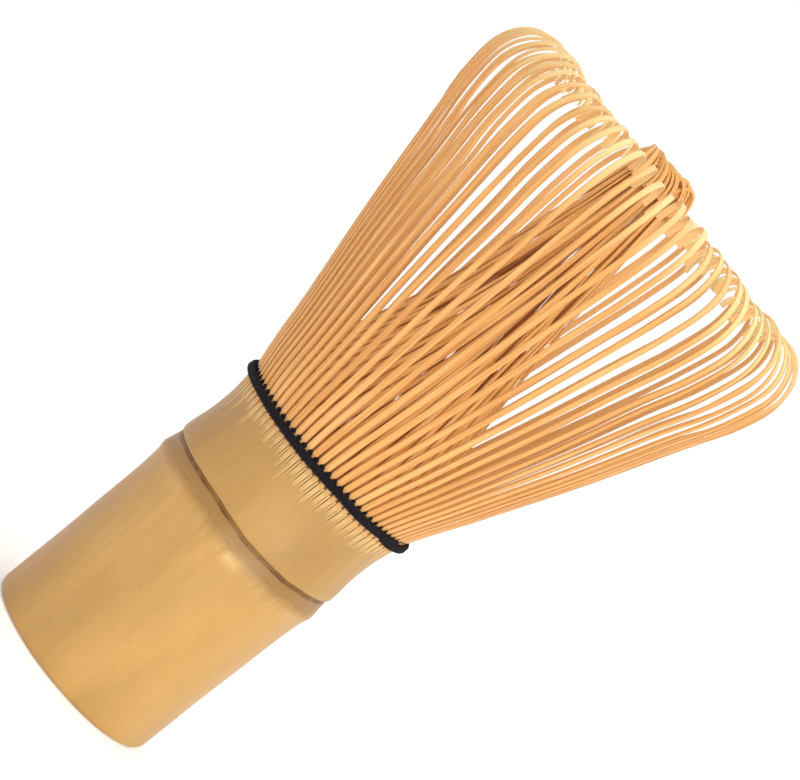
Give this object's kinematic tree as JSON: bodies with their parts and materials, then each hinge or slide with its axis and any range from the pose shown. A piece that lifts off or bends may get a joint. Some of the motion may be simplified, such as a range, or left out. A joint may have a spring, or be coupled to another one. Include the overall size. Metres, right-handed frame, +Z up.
{
  "type": "bamboo tea whisk",
  "caption": "Bamboo tea whisk: a hollow culm handle whose wall is split into flared outer tines with curled tips and a gathered inner bundle, bound with black thread.",
  "frame": {"origin": "centre of the handle's foot, on the surface that the whisk stands on", "axes": "+Z up along the whisk's axis, from the handle's foot towards the tips of the tines; +X through the middle of the first tine group"},
  "size_m": [0.0622, 0.0622, 0.107],
  "materials": {
    "culm_skin": "smooth dried bamboo skin, satin",
    "outer_bamboo": "shaved bamboo, matt, paler at the tips",
    "inner_bamboo": "shaved bamboo, matt",
    "thread": "black twisted cotton"
  },
  "bodies": {
    "handle": {"handle_culm": "culm_skin", "thread_binding": "thread", "thread_weave": "thread"},
    "inner_bundle": {"inner_tines_01": "inner_bamboo", "inner_tines_02": "inner_bamboo", "inner_tines_03": "inner_bamboo", "inner_tines_04": "inner_bamboo", "inner_tines_05": "inner_bamboo", "inner_tines_06": "inner_bamboo", "inner_tines_07": "inner_bamboo", "inner_tines_08": "inner_bamboo", "inner_tines_09": "inner_bamboo", "inner_tines_10": "inner_bamboo", "inner_tines_11": "inner_bamboo", "inner_tines_12": "inner_bamboo", "inner_tines_13": "inner_bamboo", "inner_tines_14": "inner_bamboo", "inner_tines_15": "inner_bamboo", "inner_tines_16": "inner_bamboo"},
    "outer_01": {"outer_tines_01": "outer_bamboo"},
    "outer_02": {"outer_tines_02": "outer_bamboo"},
    "outer_03": {"outer_tines_03": "outer_bamboo"},
    "outer_04": {"outer_tines_04": "outer_bamboo"},
    "outer_05": {"outer_tines_05": "outer_bamboo"},
    "outer_06": {"outer_tines_06": "outer_bamboo"},
    "outer_07": {"outer_tines_07": "outer_bamboo"},
    "outer_08": {"outer_tines_08": "outer_bamboo"},
    "outer_09": {"outer_tines_09": "outer_bamboo"},
    "outer_10": {"outer_tines_10": "outer_bamboo"},
    "outer_11": {"outer_tines_11": "outer_bamboo"},
    "outer_12": {"outer_tines_12": "outer_bamboo"},
    "outer_13": {"outer_tines_13": "outer_bamboo"},
    "outer_14": {"outer_tines_14": "outer_bamboo"},
    "outer_15": {"outer_tines_15": "outer_bamboo"},
    "outer_16": {"outer_tines_16": "outer_bamboo"}
  },
  "joints": [
    {"name": "outer_flex_01", "type": "hinge", "parent": "handle", "child": "outer_01", "pos_m": [0.0152, 0, 0.0459], "axis": [0, 1, 0], "range_deg": [-2, 6], "stiffness_Nm_per_rad": 0.003},
    {"name": "outer_flex_02", "type": "hinge", "parent": "handle", "child": "outer_02", "pos_m": [0.01404, 0.00582, 0.0459], "axis": [-0.3827, 0.9239, 0], "range_deg": [-2, 6], "stiffness_Nm_per_rad": 0.003},
    {"name": "outer_flex_03", "type": "hinge", "parent": "handle", "child": "outer_03", "pos_m": [0.01075, 0.01075, 0.0459], "axis": [-0.7071, 0.7071, 0], "range_deg": [-2, 6], "stiffness_Nm_per_rad": 0.003},
    {"name": "outer_flex_04", "type": "hinge", "parent": "handle", "child": "outer_04", "pos_m": [0.00582, 0.01404, 0.0459], "axis": [-0.9239, 0.3827, 0], "range_deg": [-2, 6], "stiffness_Nm_per_rad": 0.003},
    {"name": "outer_flex_05", "type": "hinge", "parent": "handle", "child": "outer_05", "pos_m": [0, 0.0152, 0.0459], "axis": [-1, 0, 0], "range_deg": [-2, 6], "stiffness_Nm_per_rad": 0.003},
    {"name": "outer_flex_06", "type": "hinge", "parent": "handle", "child": "outer_06", "pos_m": [-0.00582, 0.01404, 0.0459], "axis": [-0.9239, -0.3827, 0], "range_deg": [-2, 6], "stiffness_Nm_per_rad": 0.003},
    {"name": "outer_flex_07", "type": "hinge", "parent": "handle", "child": "outer_07", "pos_m": [-0.01075, 0.01075, 0.0459], "axis": [-0.7071, -0.7071, 0], "range_deg": [-2, 6], "stiffness_Nm_per_rad": 0.003},
    {"name": "outer_flex_08", "type": "hinge", "parent": "handle", "child": "outer_08", "pos_m": [-0.01404, 0.00582, 0.0459], "axis": [-0.3827, -0.9239, 0], "range_deg": [-2, 6], "stiffness_Nm_per_rad": 0.003},
    {"name": "outer_flex_09", "type": "hinge", "parent": "handle", "child": "outer_09", "pos_m": [-0.0152, 0, 0.0459], "axis": [0, -1, 0], "range_deg": [-2, 6], "stiffness_Nm_per_rad": 0.003},
    {"name": "outer_flex_10", "type": "hinge", "parent": "handle", "child": "outer_10", "pos_m": [-0.01404, -0.00582, 0.0459], "axis": [0.3827, -0.9239, 0], "range_deg": [-2, 6], "stiffness_Nm_per_rad": 0.003},
    {"name": "outer_flex_11", "type": "hinge", "parent": "handle", "child": "outer_11", "pos_m": [-0.01075, -0.01075, 0.0459], "axis": [0.7071, -0.7071, 0], "range_deg": [-2, 6], "stiffness_Nm_per_rad": 0.003},
    {"name": "outer_flex_12", "type": "hinge", "parent": "handle", "child": "outer_12", "pos_m": [-0.00582, -0.01404, 0.0459], "axis": [0.9239, -0.3827, 0], "range_deg": [-2, 6], "stiffness_Nm_per_rad": 0.003},
    {"name": "outer_flex_13", "type": "hinge", "parent": "handle", "child": "outer_13", "pos_m": [0, -0.0152, 0.0459], "axis": [1, 0, 0], "range_deg": [-2, 6], "stiffness_Nm_per_rad": 0.003},
    {"name": "outer_flex_14", "type": "hinge", "parent": "handle", "child": "outer_14", "pos_m": [0.00582, -0.01404, 0.0459], "axis": [0.9239, 0.3827, 0], "range_deg": [-2, 6], "stiffness_Nm_per_rad": 0.003},
    {"name": "outer_flex_15", "type": "hinge", "parent": "handle", "child": "outer_15", "pos_m": [0.01075, -0.01075, 0.0459], "axis": [0.7071, 0.7071, 0], "range_deg": [-2, 6], "stiffness_Nm_per_rad": 0.003},
    {"name": "outer_flex_16", "type": "hinge", "parent": "handle", "child": "outer_16", "pos_m": [0.01404, -0.00582, 0.0459], "axis": [0.3827, 0.9239, 0], "range_deg": [-2, 6], "stiffness_Nm_per_rad": 0.003},
    {"name": "inner_sway", "type": "hinge", "parent": "handle", "child": "inner_bundle", "pos_m": [0, 0, 0.046], "axis": [0, 1, 0], "range_deg": [-2.5, 2.5], "stiffness_Nm_per_rad": 0.05}
  ]
}
